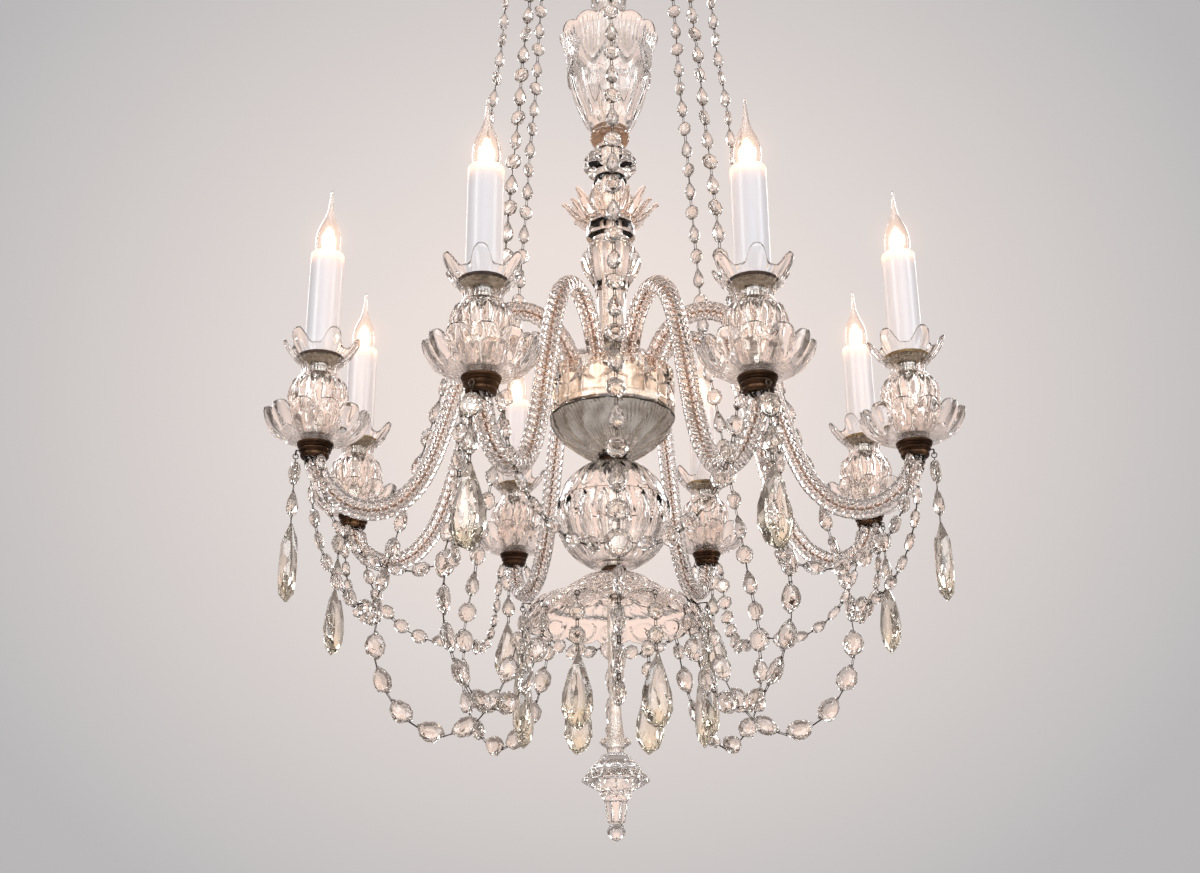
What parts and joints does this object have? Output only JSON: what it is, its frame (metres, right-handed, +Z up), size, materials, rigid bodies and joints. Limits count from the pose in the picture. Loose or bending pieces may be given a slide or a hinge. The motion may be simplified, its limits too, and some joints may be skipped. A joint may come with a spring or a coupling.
{
  "type": "crystal chandelier",
  "caption": "Hanging crystal chandelier with rope-twist glass arms, electric candles in petalled cups, faceted bead strings and swinging pear drops.",
  "frame": {"origin": "centre of the bore of the hanging eye at the top", "axes": "+Z up; +X along the eye's bore; -Y is the side that faces the viewer, between the two front arms"},
  "size_m": [0.6527, 0.6539, 1.161],
  "materials": {
    "clear_glass": "moulded lead crystal, clear, polished",
    "cut_glass": "cut lead crystal, clear, polished facets",
    "arm_glass": "rope-twisted clear glass tube",
    "crystal": "faceted clear crystal with a faint warm grey tint",
    "bulb_glass": "clear lamp glass over a warm core",
    "brass": "aged lacquered brass, satin",
    "dark_bronze": "dark patinated bronze, turned",
    "plated_steel": "silver plated, lightly worn",
    "plated_dome": "silver plated, polished",
    "pin_wire": "tarnished plated wire",
    "lamp_wire": "dark brown insulated lead",
    "candle_white": "pearl white candle sleeve"
  },
  "bodies": {
    "root": {"hang_eye": "brass", "top_cap": "brass", "crown_glass": "clear_glass", "crown_ring": "brass", "stem_rod": "plated_steel", "upper_stem_glass": "clear_glass", "vase_glass": "clear_glass", "vase_foot": "clear_glass", "scalloped_collar": "clear_glass", "baluster_glass": "clear_glass", "leaf_crown": "clear_glass", "gourd_glass": "clear_glass", "hub_dome": "plated_dome", "arm_plate": "dark_bronze", "star_bowl": "cut_glass", "fluted_bowl": "cut_glass", "neck_collars": "dark_bronze", "globe_upper": "clear_glass", "globe_lower": "clear_glass", "skirt_dish": "clear_glass", "finial_stem": "clear_glass", "finial_glass": "cut_glass", "glass_arms_front": "arm_glass", "glass_arms_back": "arm_glass", "arm_wires": "lamp_wire", "arm_cups": "dark_bronze", "drip_pans": "cut_glass", "candle_vases": "cut_glass", "gallery_rings": "brass", "candle_sleeves": "candle_white", "lampholders": "plated_steel", "string_beads": "crystal", "swag_beads": "crystal", "garland_beads": "crystal", "wire_pins": "pin_wire"},
    "bulb_a1": {"bulb_a1": "bulb_glass"},
    "arm_drop_a1": {"arm_drop_a1": "crystal"},
    "skirt_drop_a1": {"skirt_drop_a1": "crystal"},
    "bulb_a2": {"bulb_a2": "bulb_glass"},
    "arm_drop_a2": {"arm_drop_a2": "crystal"},
    "skirt_drop_a2": {"skirt_drop_a2": "crystal"},
    "bulb_b2": {"bulb_b2": "bulb_glass"},
    "arm_drop_b2": {"arm_drop_b2": "crystal"},
    "skirt_drop_b2": {"skirt_drop_b2": "crystal"},
    "bulb_c2": {"bulb_c2": "bulb_glass"},
    "arm_drop_c2": {"arm_drop_c2": "crystal"},
    "skirt_drop_c2": {"skirt_drop_c2": "crystal"},
    "bulb_d2": {"bulb_d2": "bulb_glass"},
    "arm_drop_d2": {"arm_drop_d2": "crystal"},
    "skirt_drop_d2": {"skirt_drop_d2": "crystal"},
    "bulb_d1": {"bulb_d1": "bulb_glass"},
    "arm_drop_d1": {"arm_drop_d1": "crystal"},
    "skirt_drop_d1": {"skirt_drop_d1": "crystal"},
    "bulb_c1": {"bulb_c1": "bulb_glass"},
    "arm_drop_c1": {"arm_drop_c1": "crystal"},
    "skirt_drop_c1": {"skirt_drop_c1": "crystal"},
    "bulb_b1": {"bulb_b1": "bulb_glass"},
    "arm_drop_b1": {"arm_drop_b1": "crystal"},
    "skirt_drop_b1": {"skirt_drop_b1": "crystal"}
  },
  "joints": [
    {"name": "bulb_lift_a1", "type": "slide", "parent": "root", "child": "bulb_a1", "axis": [0, 0, 1], "range_m": [0, 0.03]},
    {"name": "arm_drop_swing_a1", "type": "hinge", "parent": "root", "child": "arm_drop_a1", "pos_m": [-0.11811, -0.29439, -0.8135], "axis": [-0.9281, 0.3723, 0], "range_deg": [-8, 25]},
    {"name": "skirt_drop_swing_a1", "type": "hinge", "parent": "root", "child": "skirt_drop_a1", "pos_m": [-0.03519, -0.08771, -0.9365], "axis": [-0.9281, 0.3723, 0], "range_deg": [-5, 25]},
    {"name": "bulb_lift_a2", "type": "slide", "parent": "root", "child": "bulb_a2", "axis": [0, 0, 1], "range_m": [0, 0.03]},
    {"name": "arm_drop_swing_a2", "type": "hinge", "parent": "root", "child": "arm_drop_a2", "pos_m": [0.11995, -0.29364, -0.8135], "axis": [-0.9257, -0.3782, 0], "range_deg": [-8, 25]},
    {"name": "skirt_drop_swing_a2", "type": "hinge", "parent": "root", "child": "skirt_drop_a2", "pos_m": [0.03574, -0.08748, -0.9365], "axis": [-0.9257, -0.3782, 0], "range_deg": [-5, 25]},
    {"name": "bulb_lift_b2", "type": "slide", "parent": "root", "child": "bulb_b2", "axis": [0, 0, 1], "range_m": [0, 0.03]},
    {"name": "arm_drop_swing_b2", "type": "hinge", "parent": "root", "child": "arm_drop_b2", "pos_m": [0.29276, -0.1221, -0.8135], "axis": [-0.3849, -0.9229, 0], "range_deg": [-8, 25]},
    {"name": "skirt_drop_swing_b2", "type": "hinge", "parent": "root", "child": "skirt_drop_b2", "pos_m": [0.08722, -0.03638, -0.9365], "axis": [-0.3849, -0.9229, 0], "range_deg": [-5, 25]},
    {"name": "bulb_lift_c2", "type": "slide", "parent": "root", "child": "bulb_c2", "axis": [0, 0, 1], "range_m": [0, 0.03]},
    {"name": "arm_drop_swing_c2", "type": "hinge", "parent": "root", "child": "arm_drop_c2", "pos_m": [0.29369, 0.11985, -0.8135], "axis": [0.3778, -0.9259, 0], "range_deg": [-8, 25]},
    {"name": "skirt_drop_swing_c2", "type": "hinge", "parent": "root", "child": "skirt_drop_c2", "pos_m": [0.0875, 0.03571, -0.9365], "axis": [0.3778, -0.9259, 0], "range_deg": [-5, 25]},
    {"name": "bulb_lift_d2", "type": "slide", "parent": "root", "child": "bulb_d2", "axis": [0, 0, 1], "range_m": [0, 0.03]},
    {"name": "arm_drop_swing_d2", "type": "hinge", "parent": "root", "child": "arm_drop_d2", "pos_m": [0.12226, 0.29269, -0.8135], "axis": [0.9227, -0.3854, 0], "range_deg": [-8, 25]},
    {"name": "skirt_drop_swing_d2", "type": "hinge", "parent": "root", "child": "skirt_drop_d2", "pos_m": [0.03642, 0.0872, -0.9365], "axis": [0.9227, -0.3854, 0], "range_deg": [-5, 25]},
    {"name": "bulb_lift_d1", "type": "slide", "parent": "root", "child": "bulb_d1", "axis": [0, 0, 1], "range_m": [0, 0.03]},
    {"name": "arm_drop_swing_d1", "type": "hinge", "parent": "root", "child": "arm_drop_d1", "pos_m": [-0.11954, 0.29381, -0.8135], "axis": [0.9263, 0.3769, 0], "range_deg": [-8, 25]},
    {"name": "skirt_drop_swing_d1", "type": "hinge", "parent": "root", "child": "skirt_drop_d1", "pos_m": [-0.03561, 0.08753, -0.9365], "axis": [0.9263, 0.3769, 0], "range_deg": [-5, 25]},
    {"name": "bulb_lift_c1", "type": "slide", "parent": "root", "child": "bulb_c1", "axis": [0, 0, 1], "range_m": [0, 0.03]},
    {"name": "arm_drop_swing_c1", "type": "hinge", "parent": "root", "child": "arm_drop_c1", "pos_m": [-0.29316, 0.12113, -0.8135], "axis": [0.3819, 0.9242, 0], "range_deg": [-8, 25]},
    {"name": "skirt_drop_swing_c1", "type": "hinge", "parent": "root", "child": "skirt_drop_c1", "pos_m": [-0.08734, 0.03609, -0.9365], "axis": [0.3819, 0.9242, 0], "range_deg": [-5, 25]},
    {"name": "bulb_lift_b1", "type": "slide", "parent": "root", "child": "bulb_b1", "axis": [0, 0, 1], "range_m": [0, 0.03]},
    {"name": "arm_drop_swing_b1", "type": "hinge", "parent": "root", "child": "arm_drop_b1", "pos_m": [-0.29188, -0.12419, -0.8135], "axis": [-0.3915, 0.9202, 0], "range_deg": [-8, 25]},
    {"name": "skirt_drop_swing_b1", "type": "hinge", "parent": "root", "child": "skirt_drop_b1", "pos_m": [-0.08696, -0.037, -0.9365], "axis": [-0.3915, 0.9202, 0], "range_deg": [-5, 25]}
  ]
}
